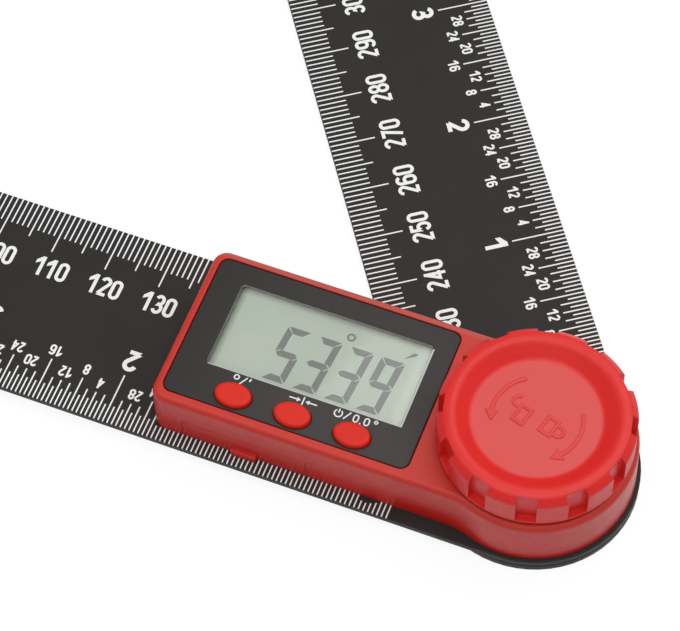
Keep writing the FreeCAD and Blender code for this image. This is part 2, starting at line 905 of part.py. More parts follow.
def on_circle(r, angle):
    """Point of the dish floor at a radius and an angle."""
    turn = math.radians(angle)
    return V(r * math.cos(turn), r * math.sin(turn), 0)


def turn_arrow(way):
    """Outline of a curved arrow about the pivot axis: way 1 opens, way -1 locks."""
    tail = sign_line_angle + way * arrow_tail_angle
    neck = sign_line_angle + way * arrow_neck_angle
    middle = (tail + neck) / 2
    inner = arrow_r - arrow_width / 2
    outer = arrow_r + arrow_width / 2
    inner_barb = on_circle(arrow_r - arrow_head_width / 2, neck)
    outer_barb = on_circle(arrow_r + arrow_head_width / 2, neck)
    tip = on_circle(arrow_r, neck + way * math.degrees(arrow_head_length / arrow_r))
    inner_arc = Part.Arc(on_circle(inner, tail), on_circle(inner, middle), on_circle(inner, neck))
    outer_arc = Part.Arc(on_circle(outer, neck), on_circle(outer, middle), on_circle(outer, tail))
    return Part.Wire([
        inner_arc.toShape(),
        Part.makeLine(on_circle(inner, neck), inner_barb),
        Part.makeLine(inner_barb, tip),
        Part.makeLine(tip, outer_barb),
        Part.makeLine(outer_barb, on_circle(outer, neck)),
        outer_arc.toShape(),
        Part.makeLine(on_circle(outer, tail), on_circle(inner, tail)),
    ])


def lock_sign(way):
    """Plain padlock outline: way 1 has its shackle swung open, way -1 has it shut."""
    low = dish_z - sign_height
    top = dish_z + sign_height
    half = lock_sign_width / 2
    line = lock_sign_line
    r = lock_sign_shackle_r
    shoulder = lock_sign_body + line
    body = box(-half, half, 0, lock_sign_body, low, top)
    body = body.cut(box(line - half, half - line, line, lock_sign_body - line, dish_z, top + over))
    shift = (r + r - line) * (1 + way) / 2
    arch = cylinder(r, low, top, shift, shoulder)
    arch = arch.cut(cylinder(r - line, low - over, top + over, shift, shoulder))
    arch = arch.cut(box(shift - r - over, shift + r + over, -over, shoulder, low - over, top + over))
    solids = [body, arch, box(shift - r, shift - r + line, lock_sign_body - line, shoulder, low, top)]
    if way < 0:
        solids.append(box(r - line, r, lock_sign_body - line, shoulder, low, top))
    sign = fuse(solids)
    sign.translate(V(-shift / 2, lock_sign_offset - lock_sign_body / 2, 0))
    sign.rotate(V(0, 0, 0), V(0, 0, 1), sign_line_angle if way > 0 else sign_line_angle + 180)
    return sign


def make_lock_knob():
    """Knob with its notches and the raised signs in its dish."""
    solids = [cut(knob_blank(), notches())]
    for way in (1, -1):
        solids.append(extrude(turn_arrow(way), dish_z - sign_height, dish_z + sign_height))
        solids.append(lock_sign(way))
    return fuse(solids)


def make_knob_insert():
    """Threaded insert in the knob's centre boss."""
    return ring(insert_r, stud_r + running_gap, knob_z, knob_hollow_z - running_gap)


def make_thrust_washer():
    """Washer between the knob and its seat on the housing."""
    return ring(thrust_washer_r, thrust_washer_hole_r, seat_z, knob_z - running_gap)


def build():
    """All nodes by name."""
    nodes = {
        "base_arm": make_base_arm(),
        "swing_arm": make_swing_arm(),
        "pivot_hub": make_pivot_hub(),
        "pivot_bush": make_pivot_bush(),
        "friction_washer": make_friction_washer(),
        "disc_spring": make_disc_spring(),
        "sensor_stator": make_stator(),
        "sensor_rotor": ring(rotor_r, journal_r, rotor_z, rotor_top_z),
        "rotor_clip": make_rotor_clip(),
        "flex_cable": make_flex_cable(),
        "back_plate": make_back_plate(),
        "housing_shell": make_housing_shell(),
        "housing_screws": Part.makeCompound([housing_screw(x, y) for x, y in screw_places()]),
        "front_panel": make_front_panel(),
        "window_lens": window_block(lens_overlap, lens_z, panel_low_z),
        "display_glass": window_block(display_overlap, display_z, display_z + display_thick),
        "display_holder": make_display_holder(),
        "contact_strips": make_contact_strips(),
        "main_board": make_main_board(),
        "board_screws": make_board_screws(),
        "control_chip": make_control_chip(),
        "switch_domes": make_switch_domes(),
        "battery_tray": make_battery_tray(),
        "coin_cell": make_coin_cell(),
        "top_contact": make_top_contact(),
        "rim_contact": make_rim_contact(),
        "thrust_washer": make_thrust_washer(),
        "lock_knob": make_lock_knob(),
        "knob_insert": make_knob_insert(),
    }
    for number, (x, y) in enumerate(button_places(), 1):
        nodes["button_%d" % number] = make_button(x, y)
    return nodes


os.makedirs("parts", exist_ok=True)
for name, shape in build().items():
    shape.exportStep("parts/" + name + ".step")
    print(name, len(shape.Solids), round(shape.Volume, 2), shape.isValid())
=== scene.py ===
import bmesh
import bpy
import math
from mathutils import Matrix, Vector
from mathutils.geometry import delaunay_2d_cdt


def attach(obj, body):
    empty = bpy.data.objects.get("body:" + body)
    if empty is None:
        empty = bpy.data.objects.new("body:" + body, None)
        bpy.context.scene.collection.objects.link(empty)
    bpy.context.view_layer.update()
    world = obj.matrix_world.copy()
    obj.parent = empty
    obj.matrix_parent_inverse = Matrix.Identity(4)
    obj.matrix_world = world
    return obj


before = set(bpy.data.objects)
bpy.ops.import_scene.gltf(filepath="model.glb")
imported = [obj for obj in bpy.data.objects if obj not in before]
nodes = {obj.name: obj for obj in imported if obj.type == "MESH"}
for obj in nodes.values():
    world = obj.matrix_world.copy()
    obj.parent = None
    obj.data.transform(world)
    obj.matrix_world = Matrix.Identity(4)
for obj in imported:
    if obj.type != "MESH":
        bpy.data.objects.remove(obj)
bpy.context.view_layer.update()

# Lengths are in millimetres and angles in degrees, in the frame of the part's source.
MM = 0.001
mitre_limit = 0.45
weld_reach = 1e-5

arm_reach = 200.5
arm_half_width = 17.5
arm_corner_r = 3.0
arm_edge_break = 0.15
base_top = 2.9
swing_top = 1.4
rest_angle = 55.2
housing_half_width = 15.1
panel_top = 12.85
display_top = 11.3

# Window opening, painted light on its walls, painted highlight lines along two of its edges, and the
# panel's painted sheen
window_left = -54.5
window_right = -20.8
window_near = -5.9
window_far = 9.8
# Reach of the painted reflected light on the window's walls
wall_left_margin = 1.0
wall_right_margin = 2.3
wall_side_margin = 0.7
wall_soft = 0.4
# Spans of the painted highlight lines along the window's near and right edges
near_glint = (-0.22, 0.1)
near_glint_shift = 0.3
right_glint = (-0.1, 0.32)
right_glint_ends = (0.1, 0.6)
glint_soft = 0.03
glint_end_soft = 0.05
# Painted sheen on the panel, stronger toward the pivot and the near side
sheen_start_x = -58.0
sheen_full_x = -38.0
sheen_near_y = -8.0
sheen_far_y = 12.5

# Strips of light and shade on the display, counted from the window's edges
far_strip = 1.8
near_strip = (0.1, 1.1)
right_strip = (2.7, 0.4)
left_strip = 1.3

# Painted sheen on the housing's roof, a painted highlight on its far side, and painted sheen on the knob's
# dish and its signs
roof_sheen_low = 11.9
roof_sheen_full = 12.5
back_glint_start_y = 13.3
back_glint_full_y = 14.0
dish_sheen_r = 10.1
dish_sheen_end_r = 10.6
sign_sheen_low = 18.84
sign_sheen_high = 18.88

# Sizes and depths of the patches in plastic, metal and ink
cloud_size = 9.0
wear_size = 1.2
wear_reach = 1.6
gloss_size = 1.4
wave_size = 5.0
wave_depth = 0.03
tarnish_size = 1.6
tarnish_tone = 0.72
metal_grain = 0.08
metal_grain_depth = 0.002
metal_edge = 0.06
ink_mottle_size = 0.5
ink_gloss_size = 0.25
ink_tooth_size = 0.12
ink_tooth_depth = 0.002

# Clear plastic of the window
window_tint = (0.97, 0.985, 0.97, 1.0)
window_through = (0.93, 0.95, 0.93, 1.0)
window_ior = 1.33
window_haze_size = 2.5
window_wave_size = 4.0
window_wave_depth = 0.004

# Light, with places and sizes in metres
sky_low = 0.25
sky_high = 0.6
floor_size = 3.0
floor_bounce = 0.52
floor_rough = 0.9
floor_shade = 0.16
floor_glow = 0.88
lamp_target = (-0.02, 0.0, 0.0)
back_lamp_at = (0.22, 0.42, 0.75)
back_lamp_size = 0.8
back_lamp_power = 2.8
front_lamp_at = (-0.05, -0.24, 0.9)
front_lamp_size = 0.7
front_lamp_power = 2.3

# Camera, with its place in metres
camera_at = (0.047516, -0.181644, 0.373883)
camera_right = (0.930963, 0.364221, -0.025506)
camera_forward = (-0.203110, 0.458574, -0.865134)
camera_lens = 134.82
camera_sensor = 36.0
camera_near = 0.01
camera_far = 20.0

# Printed marks. A number has a height, a width, a width of line and a pitch.
ink_thick = 0.015
ink_wrap = 0.12
last_mark_inset = 0.9
mark_start = 18.0
tick_width = 0.25
mm_number_gap = 1.25
mm_number = (3.8, 1.95, 0.6, 2.08)
inch = 25.4
inch_parts = 32
fraction_gap = 0.7
fraction_number = (2.0, 1.12, 0.36, 1.18)
inch_gap = 0.84
inch_number = (4.0, 2.55, 0.76, 2.7)
pivot_value = 200
base_inch_zero = 18.17
swing_inch_zero = 17.4
base_number_shift = 1.35
housing_hides = 60.4

# Lengths of the lines for the steps that they mark, and of the short ones beside the housing's waist
mm_ticks = {1: 5.0, 5: 6.55, 10: 8.1}
inch_ticks = {1: 3.15, 2: 4.65, 8: 6.3, 16: 7.8, 32: 9.2}
short_inch_ticks = {4: 2.0, 5: 1.6, 6: 1.4, 7: 1.55}

# The reading on the display, 53 degrees 39 minutes, and the signs above the buttons
lit_segments = ("afgcd", "abgcd", "abgcd", "abgcdf")
segment_width = 4.1
segment_height = 10.45
segment_line = 1.17
segment_gap = 0.06
segment_bar_inset = 0.2
segment_lean = 5.0
segment_left = -45.56
segment_low = -4.8
segment_pitch = 5.45
segment_thick = 0.02
degree_at = (-34.25, 7.2)
degree_r = 0.58
degree_line = 0.36
ring_steps = 24
minute_mark = ((-24.85, 6.45), (-23.2, 7.5), (-22.85, 8.0), (-23.6, 8.05))
sign_low = -7.9
sign_height = 1.5
sign_high = sign_low + sign_height
sign_middle = sign_low + sign_height / 2
sign_line = 0.24
unit_sign_x = -48.7
unit_ring_r = 0.4
unit_ring_drop = 0.42
unit_ring_steps = 16
unit_slash_x = -47.4
unit_mark_x = -46.3
unit_mark_lean = 0.15
unit_mark_drop = 0.55
unit_mark_line = 0.288
slash_reach = 0.45
hold_sign_x = -37.0
hold_arrow_reach = 2.4
hold_arrow_neck = 0.65
hold_arrow_tip = 0.25
hold_arrow_back = 0.4
hold_arrow_half = 0.42
power_sign_x = -30.9
power_ring_r = 0.65
power_ring_drop = 0.05
power_ring_ends = (125, 415)
power_ring_steps = 18
zero_slash_x = -29.4
zero_places = (-27.9, -26.05)
zero_number = (sign_height, 1.0, sign_line, 1.0)
zero_dot_x = -27.15
zero_dot_size = 0.25
zero_ring_x = -24.6
zero_ring_r = 0.26
zero_ring_drop = 0.3
zero_ring_line = 0.216
zero_ring_steps = 14


def linear(red, green, blue):
    """Scene colour of a screen colour given in 0 to 255."""
    channels = []
    for value in (red, green, blue):
        share = value / 255
        channels.append(share / 12.92 if share <= 0.04045 else ((share + 0.055) / 1.055) ** 2.4)
    return (*channels, 1.0)


# Flat drawing: strokes and polygons, joined to one sheet and given a thickness

def arc(x, y, rx, ry, start, end, steps=10):
    """Points along an ellipse from one angle to another."""
    points = []
    for k in range(steps + 1):
        angle = math.radians(start + (end - start) * k / steps)
        points.append((x + rx * math.cos(angle), y + ry * math.sin(angle)))
    return points


def stroke(points, width, closed=False):
    """Quads of a line of constant width with mitred corners."""
    line = [Vector(p) for p in points]
    count = len(line)
    half = width / 2
    left = []
    right = []
    for k, point in enumerate(line):
        ahead = line[(k + 1) % count] - point
        behind = point - line[k - 1]
        if not closed and k == 0:
            behind = ahead
        if not closed and k == count - 1:
            ahead = behind
        ahead = ahead.normalized()
        behind = behind.normalized()
        mean = (ahead + behind).normalized()
        side = Vector((-mean.y, mean.x))
        reach = half / max(mitre_limit, side.dot(Vector((-ahead.y, ahead.x))))
        left.append(point + side * reach)
        right.append(point - side * reach)
    quads = []
    for k in range(count if closed else count - 1):
        n = (k + 1) % count
        quads.append([right[k], right[n], left[n], left[k]])
    return quads


def circle(x, y, r, line, steps):
    """Ring of constant width."""
    return stroke(arc(x, y, r, r, 0, 360, steps)[:-1], line, closed=True)


def digit(sign, height, width, line):
    """Polygons of one digit, its lower left corner at the origin."""
    w = width - line
    h = height - line
    m = w / 2
    half = line / 2
    shapes = []
    if sign == "0":
        ring = arc(m, h - m, m, m, 0, 180)[:-1] + arc(m, m, m, m, 180, 360)[:-1] + [(w, m)]
        shapes += stroke(ring, line, closed=True)
    if sign == "1":
        stem = 0.68 * w
        flag = 0.8 * h
        head = [(stem + half, h + half), (stem - half, h + half)]
        shapes += [[(stem - half, -half), (stem + half, -half)] + head]
        shapes += [head + [(-half, flag), (-half, flag - 1.15 * line), (stem, h - line)]]
    if sign == "2":
        shapes += stroke(arc(m, h - m, m, m, 172, -38, 12) + [(0, 0.02 * h), (0.01 * w, 0), (w, 0)], line)
    if sign == "3":
        upper = arc(m, 0.75 * h, 0.93 * m, 0.25 * h, 158, -90, 12)
        shapes += stroke(upper + arc(m, 0.26 * h, m, 0.26 * h, 88, -160, 12), line)
    if sign == "4":
        shapes += stroke([(0.74 * w, h), (0, 0.25 * h), (w * 1.08, 0.25 * h)], line * 0.92)
        shapes += stroke([(0.74 * w, -half), (0.74 * w, h + line * 0.46)], line * 0.96)
    if sign == "5":
        upper = [(0.95 * w, h), (0.08 * w, h), (0.03 * w, 0.5 * h)]
        shapes += stroke(upper + arc(m, 0.31 * h, m, 0.31 * h, 140, -160, 14), line)
    if sign in "69":
        hook = arc(m, h - m, m, m, 20, 180)
        six = stroke(hook + arc(m, m, m, m, 180, 360) + arc(m, 0.6 * h - m, m, m, 0, 180), line)
        if sign == "9":
            six = [[Vector((w - p[0], h - p[1])) for p in quad] for quad in six]
        shapes += six
    if sign == "7":
        shapes += stroke([(0, h), (w, h), (0.3 * w, -half)], line)
    if sign == "8":
        shapes += stroke(arc(m, 0.75 * h, 0.92 * m, 0.25 * h, 0, 360, 20)[:-1], line, closed=True)
        shapes += stroke(arc(m, 0.26 * h, m, 0.26 * h, 0, 360, 20)[:-1], line, closed=True)
    move = Vector((half, half))
    return [[Vector(p) + move for p in shape] for shape in shapes]


def joined(shapes):
    """One flat sheet, as points and triangles, that covers all the polygons."""
    points = []
    faces = []
    for shape in shapes:
        face = list(range(len(points), len(points) + len(shape)))
        area = sum(p[0] * q[1] - p[1] * q[0] for p, q in zip(shape, shape[1:] + shape[:1]))
        faces.append(face if area > 0 else face[::-1])
        points += [Vector(p) for p in shape]
    inside_only = 1
    corners, _, triangles, _, _, sources = delaunay_2d_cdt(points, [], faces, inside_only, weld_reach)
    return corners, [t for t, source in zip(triangles, sources) if source]


digit_sheets = {}


def number(text, style, x, y, turn):
    """Sheets of a number centred on x, with y at its top, read along +X, or along -X if turned."""
    height, width, line, pitch = style
    span = pitch * (len(text) - 1) + width
    sheets = []
    for k, sign in enumerate(text):
        if (sign, style) not in digit_sheets:
            digit_sheets[sign, style] = joined(digit(sign, height, width, line))
        corners, triangles = digit_sheets[sign, style]
        start = pitch * k - span / 2
        placed = [Vector((c.x + start, c.y - height)) * turn + Vector((x, y)) for c in corners]
        sheets.append((placed, triangles))
    return sheets


def thickened(sheets, low, high):
    """Closed mesh data of flat sheets between two levels, in metres."""
    mesh = bmesh.new()
    for corners, triangles in sheets:
        top = [mesh.verts.new((c.x * MM, c.y * MM, high * MM)) for c in corners]
        bottom = [mesh.verts.new((c.x * MM, c.y * MM, low * MM)) for c in corners]
        sides = {}
        for triangle in triangles:
            mesh.faces.new([top[i] for i in triangle])
            mesh.faces.new([bottom[i] for i in reversed(triangle)])
            for i, j in zip(triangle, triangle[1:] + triangle[:1]):
                if sides.pop((j, i), None) is None:
                    sides[i, j] = True
        for i, j in sides:
            mesh.faces.new([top[j], top[i], bottom[i], bottom[j]])
        for corner in top + bottom:
            if not corner.link_faces:
                mesh.verts.remove(corner)
    return mesh


def piece(name, mesh, body, look, turn=0.0):
    """A new piece made of a mesh, turned about the pivot axis, that rides on a body."""
    mesh.transform(Matrix.Rotation(math.radians(turn), 4, "Z"))
    data = bpy.data.meshes.new(name)
    mesh.to_mesh(data)
    mesh.free()
    data.materials.append(look)
    item = bpy.data.objects.new(name, data)
    bpy.context.scene.collection.objects.link(item)
    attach(item, body)
    return item


# Materials, all built from nodes on each piece's own coordinates

class Look:
    """One material and the helpers that add nodes to it."""

    def __init__(self, name):
        self.material = bpy.data.materials.new(name)
        self.material.use_nodes = True
        self.tree = self.material.node_tree
        self.surface = self.tree.nodes["Principled BSDF"]
        self.place = self.node("ShaderNodeTexCoord").outputs["Object"]

    def node(self, kind, inputs=None, **settings):
        """A new node with its settings, and its inputs linked or set."""
        made = self.tree.nodes.new(kind)
        for key, value in settings.items():
            setattr(made, key, value)
        for key, value in (inputs or {}).items():
            if isinstance(value, bpy.types.NodeSocket):
                self.tree.links.new(value, made.inputs[key])
            else:
                made.inputs[key].default_value = value
        return made

    def feed(self, socket, value):
        """Links or sets one input of the surface."""
        if isinstance(value, bpy.types.NodeSocket):
            self.tree.links.new(value, self.surface.inputs[socket])
        else:
            self.surface.inputs[socket].default_value = value

    def noise(self, size, detail=2.0):
        """Soft noise whose patches are about size millimetres across."""
        inputs = {"Vector": self.place, "Scale": 1 / (size * MM), "Detail": detail}
        return self.node("ShaderNodeTexNoise", inputs).outputs["Fac"]

    def spread(self, value, low, high, start=0.3, end=0.7):
        """A value from low to high as the input goes from start to end."""
        inputs = {"Value": value, "From Min": start, "From Max": end, "To Min": low, "To Max": high}
        return self.node("ShaderNodeMapRange", inputs).outputs["Result"]

    def blend(self, share, one, other):
        """Colour between two colours, through the colour sockets of a mixing node."""
        made = self.node("ShaderNodeMix", data_type="RGBA")
        for key, value in ((0, share), (6, one), (7, other)):
            if isinstance(value, bpy.types.NodeSocket):
                self.tree.links.new(value, made.inputs[key])
            else:
                made.inputs[key].default_value = value
        return made.outputs[2]

    def rounded(self, radius):
        """Normal that softens the corners of the solid."""
        return self.node("ShaderNodeBevel", {"Radius": radius * MM}, samples=6).outputs["Normal"]

    def corners(self, radius, low, high):
        """Value that is high along sharp edges and low elsewhere."""
        soft = self.rounded(radius)
        sharp = self.node("ShaderNodeNewGeometry").outputs["Normal"]
        alike = self.node("ShaderNodeVectorMath", {0: soft, 1: sharp}, operation="DOT_PRODUCT")
        return self.spread(alike.outputs["Value"], high, low, 0.85, 0.995)

    def relief(self, height, depth, normal=None):
        """Bumped normal from a height between 0 and 1, depth in millimetres."""
        inputs = {"Height": height, "Distance": depth * MM, "Strength": 1.0}
        if normal is not None:
            inputs["Normal"] = normal
        return self.node("ShaderNodeBump", inputs).outputs["Normal"]

    def parts(self, socket):
        """The three parts of a place or a direction."""
        return self.node("ShaderNodeSeparateXYZ", {"Vector": socket}).outputs

    def product(self, one, other):
        """Two values multiplied."""
        return self.node("ShaderNodeMath", {0: one, 1: other}, operation="MULTIPLY").outputs[0]

    def larger(self, one, other):
        """The larger of two values."""
        return self.node("ShaderNodeMath", {0: one, 1: other}, operation="MAXIMUM").outputs[0]

    def fade(self, place, start, end, low=0.0, high=1.0):
        """A value from low to high along one coordinate, start and end in millimetres."""
        return self.spread(place, low, high, start * MM, end * MM)

    def band(self, place, start, end, soft):
        """1 between two places in millimetres, with a soft run at each end."""
        rising = self.fade(place, start, start + soft)
        return self.product(rising, self.fade(place, end - soft, end, 1.0, 0.0))


def moulded(
    name, colour, shade, rough, grain=0.18, depth=0.004, edge=0.12, bright=None, gloss=0.5, patches=None
):
    """Moulded plastic: fine grain, faint clouding, softened and slightly paler edges."""
    look = Look(name)
    cloud = look.noise(cloud_size, 3.0)
    tone = look.blend(look.spread(cloud, 0.0, 1.0), colour, shade)
    if bright is not None:
        worn = look.corners(edge * wear_reach, 0.0, 0.7)
        patch = look.spread(look.noise(wear_size, 4.0), 0.3, 1.0)
        tone = look.blend(look.product(worn, patch), tone, bright)
    # Patches paint light and shade onto the colour: sheen, highlights and reflected light
    for share, patch_colour in patches(look) if patches else ():
        tone = look.blend(share, tone, patch_colour)
    look.feed("Base Color", tone)
    look.feed("Specular IOR Level", gloss)
    look.feed("Roughness", look.spread(look.noise(gloss_size, 4.0), rough - 0.05, rough + 0.06))
    fine = look.relief(look.noise(grain, 3.0), depth, look.rounded(edge))
    look.feed("Normal", look.relief(look.noise(wave_size, 1.0), wave_depth, fine))
    return look.material


def metal(name, colour, rough):
    """Fine-grained metal with faint tarnish."""
    look = Look(name)
    grain = look.noise(metal_grain, 4.0)
    dull = tuple(tarnish_tone * c for c in colour[:3]) + (1.0,)
    tarnish = look.spread(look.noise(tarnish_size, 4.0), 0.0, 0.6)
    look.feed("Base Color", look.blend(tarnish, colour, dull))
    look.feed("Metallic", 1.0)
    look.feed("Roughness", look.spread(grain, rough - 0.07, rough + 0.1))
    look.feed("Normal", look.relief(grain, metal_grain_depth, look.rounded(metal_edge)))
    return look.material


def printed(name, colour, shade, rough=0.5):
    """Printed ink with faint mottling."""
    look = Look(name)
    mottle = look.spread(look.noise(ink_mottle_size, 3.0), 0.0, 1.0)
    look.feed("Base Color", look.blend(mottle, colour, shade))
    look.feed("Roughness", look.spread(look.noise(ink_gloss_size), rough - 0.05, rough + 0.08))
    look.feed("Normal", look.relief(look.noise(ink_tooth_size, 3.0), ink_tooth_depth))
    return look.material


def clear_window(name):
    """Clear plastic that lets light through to what is behind it."""
    look = Look(name)
    look.feed("Base Color", window_tint)
    look.feed("Transmission Weight", 1.0)
    look.feed("IOR", window_ior)
    look.feed("Roughness", look.spread(look.noise(window_haze_size, 4.0), 0.015, 0.05))
    look.feed("Normal", look.relief(look.noise(window_wave_size), window_wave_depth))
    path = look.node("ShaderNodeLightPath")
    either = look.larger(path.outputs["Is Shadow Ray"], path.outputs["Is Diffuse Ray"])
    through = look.node("ShaderNodeBsdfTransparent", {"Color": window_through}).outputs[0]
    mixed = look.node("ShaderNodeMixShader", {0: either, 1: look.surface.outputs[0], 2: through}).outputs[0]
    look.tree.links.new(mixed, look.tree.nodes["Material Output"].inputs["Surface"])
    return look.material


def panel_patches(look):
    """Painted faint sheen, painted reflected light on the walls of the window and painted highlight lines
    along its near and right edges.
    """
    x, y, _ = look.parts(look.place)
    rise = look.parts(look.node("ShaderNodeNewGeometry").outputs["True Normal"])[2]
    # Painted sheen, stronger toward the pivot and the near side
    sheen = look.product(
        look.fade(x, sheen_start_x, sheen_full_x),
        look.fade(y, sheen_near_y, sheen_far_y, 1.0, 0.5),
    )
    # Painted light reflected from the display onto the upright walls of the window opening
    around = look.product(
        look.band(x, window_left - wall_left_margin, window_right + wall_right_margin, wall_soft),
        look.band(y, window_near - wall_side_margin, window_far + wall_side_margin, wall_soft),
    )
    walls = look.product(look.spread(rise, 1.0, 0.0, 0.05, 0.3), around)
    # Painted highlight lines along the window's near and right edges, on faces that look up
    near = look.product(
        look.band(x, window_left + near_glint_shift, window_right + near_glint_shift, glint_end_soft),
        look.band(y, window_near + near_glint[0], window_near + near_glint[1], glint_soft),
    )
    right_start = window_near - right_glint_ends[0]
    right_end = window_far - right_glint_ends[1]
    right = look.product(
        look.band(x, window_right + right_glint[0], window_right + right_glint[1], glint_soft),
        look.band(y, right_start, right_end, glint_end_soft),
    )
    line = look.product(look.larger(near, right), look.spread(rise, 0.0, 1.0, 0.3, 0.5))
    # Colours of the painted sheen, the painted light on the walls and the painted highlight lines
    return [(sheen, linear(63, 59, 57)), (walls, linear(168, 162, 159)), (line, linear(206, 209, 203))]


def housing_patches(look):
    """Painted sheen on the roof, and a painted highlight strip along its far side."""
    _, y, z = look.parts(look.place)
    # Painted sheen on the top faces of the housing
    roof = look.fade(z, roof_sheen_low, roof_sheen_full)
    # Painted highlight along the far side of the top
    back = look.product(roof, look.fade(y, back_glint_start_y, back_glint_full_y, 0.0, 0.8))
    return [(roof, linear(205, 50, 38)), (back, linear(190, 92, 80))]


def knob_patches(look):
    """Painted sheen on the floor of the dish, fainter on the tops of the raised signs."""
    x, y, z = look.parts(look.place)
    flat = look.node("ShaderNodeCombineXYZ", {"X": x, "Y": y}).outputs["Vector"]
    out = look.node("ShaderNodeVectorMath", {0: flat}, operation="LENGTH").outputs["Value"]
    # Painted sheen on the dish floor, fainter on the tops of the raised signs
    floor = look.fade(out, dish_sheen_r, dish_sheen_end_r, 1.0, 0.0)
    dish_sheen = look.product(floor, look.fade(z, sign_sheen_low, sign_sheen_high, 1.0, 0.45))
    return [(dish_sheen, linear(222, 77, 73))]


def display_patches(look):
    """Paler strips where light comes in past the lens, and a shaded one at the left end."""
    x, y, _ = look.parts(look.place)
    pale = linear(214, 220, 210)
    right_start = window_right - right_strip[0]
    return [
        (look.fade(y, window_far - far_strip, window_far, 0.0, 0.85), pale),
        (look.fade(y, window_near - near_strip[0], window_near + near_strip[1], 0.4, 0.0), pale),
        (look.fade(x, right_start, window_right - right_strip[1], 0.0, 0.8), linear(226, 231, 223)),
        (look.fade(x, window_left, window_left + left_strip, 0.8, 0.0), linear(106, 107, 103)),
    ]


arm_look = moulded(
    "arm_coating", linear(45, 42, 41), linear(48, 45, 43), rough=0.5, grain=0.22, depth=0.003, edge=0.08,
    bright=linear(88, 86, 83), gloss=0.2,
)
housing_look = moulded(
    "housing_plastic", linear(208, 31, 21), linear(202, 29, 19), rough=0.36, grain=0.2, depth=0.004,
    edge=0.2, bright=linear(222, 74, 58), gloss=0.38, patches=housing_patches,
)
knob_look = moulded(
    "knob_plastic", linear(232, 38, 34), linear(226, 36, 32), rough=0.4, grain=0.2, depth=0.004,
    edge=0.2, bright=linear(238, 78, 72), gloss=0.42, patches=knob_patches,
)
button_look = moulded(
    "button_plastic", linear(226, 36, 14), linear(218, 33, 13), rough=0.5, grain=0.2, depth=0.003,
    edge=0.3, gloss=0.35,
)
panel_look = moulded(
    "panel_plastic", linear(43, 41, 39), linear(47, 44, 42), rough=0.45, grain=0.16, depth=0.003,
    edge=0.1, bright=linear(104, 98, 94), gloss=0.3, patches=panel_patches,
)
display_look = moulded(
    "display_back", linear(189, 198, 186), linear(195, 203, 191), rough=0.4, grain=0.1, depth=0.001,
    edge=0.05, patches=display_patches,
)
inner_look = moulded("inner_plastic", linear(38, 38, 39), linear(44, 44, 45), 0.55)
washer_look = moulded("washer_plastic", linear(226, 225, 219), linear(216, 214, 206), 0.5)
rubber_look = moulded("strip_rubber", linear(206, 205, 198), linear(190, 188, 180), 0.7)
chip_look = moulded("chip_epoxy", linear(30, 30, 31), linear(38, 38, 38), 0.6, grain=0.1, depth=0.006)
flex_look = moulded("flex_film", linear(196, 128, 44), linear(172, 104, 30), 0.35)
board_look = moulded("board_mask", linear(24, 96, 48), linear(18, 78, 38), 0.35)
steel_look = metal("screw_steel", linear(196, 197, 200), 0.3)
spring_look = metal("spring_steel", linear(178, 180, 186), 0.26)
brass_look = metal("turned_brass", linear(214, 180, 106), 0.32)
ink_look = printed("white_ink", linear(251, 251, 249), linear(243, 243, 241))
label_look = printed("label_ink", linear(238, 237, 235), linear(228, 227, 225))
segment_look = printed("display_ink", linear(123, 124, 122), linear(130, 131, 128), 0.45)
window_look = clear_window("window_plastic")

looks = {
    "base_arm": arm_look,
    "swing_arm": arm_look,
    "pivot_hub": steel_look,
    "pivot_bush": brass_look,
    "friction_washer": washer_look,
    "disc_spring": spring_look,
    "sensor_stator": board_look,
    "sensor_rotor": board_look,
    "rotor_clip": spring_look,
    "flex_cable": flex_look,
    "back_plate": inner_look,
    "housing_shell": housing_look,
    "housing_screws": steel_look,
    "front_panel": panel_look,
    "window_lens": window_look,
    "display_glass": display_look,
    "display_holder": inner_look,
    "contact_strips": rubber_look,
    "main_board": board_look,
    "board_screws": steel_look,
    "control_chip": chip_look,
    "switch_domes": spring_look,
    "battery_tray": housing_look,
    "coin_cell": steel_look,
    "top_contact": spring_look,
    "rim_contact": spring_look,
    "thrust_washer": washer_look,
    "lock_knob": knob_look,
    "knob_insert": brass_look,
    "button_1": button_look,
    "button_2": button_look,
    "button_3": button_look,
}
for name, look in looks.items():
    nodes[name].data.materials.clear()
    nodes[name].data.materials.append(look)


# Scales printed on the arms. Places along an arm are counted from the pivot outward.

def edge_at(out):
    """Half width of an arm at a place along it, with its round end corners."""
    past = out - (arm_reach - arm_corner_r)
    edge = arm_half_width - arm_edge_break
    if past <= 0:
        return edge
    return edge - arm_corner_r + math.sqrt(max(0.0, arm_corner_r ** 2 - past ** 2))


def add_tick(mesh, out, length, side, hidden_to, top):
    """One line square to the arm's edge, which runs on over the broken edge."""
    outer = edge_at(out)
    inner = max(arm_half_width - length, hidden_to)
    profile = [(inner, top), (outer, top)]
    if out < arm_reach - arm_corner_r:
        profile.append((outer + ink_wrap, top - ink_wrap))
    ends = []
    for x in (-out - tick_width / 2, -out + tick_width / 2):
        low = [mesh.verts.new((x * MM, side * y * MM, z * MM)) for y, z in profile]
        high = [mesh.verts.new((x * MM, side * y * MM, (z + ink_thick) * MM)) for y, z in profile]
        ends.append(low + high[::-1])
    count = len(ends[0])
    for i in range(count):
        j = (i + 1) % count
        mesh.faces.new([ends[0][i], ends[0][j], ends[1][j], ends[1][i]])
    steps = len(profile)
    for k, end in enumerate(ends):
        for i in range(steps - 1):
            quad = [end[i], end[i + 1], end[count - 2 - i], end[count - 1 - i]]
            mesh.faces.new(quad[::-1] if k else quad)


def tick_length(lengths, count):
    """Length of the line for a count: the longest of the steps that it is a whole number of."""
    return max(length for step, length in lengths.items() if count % step == 0)


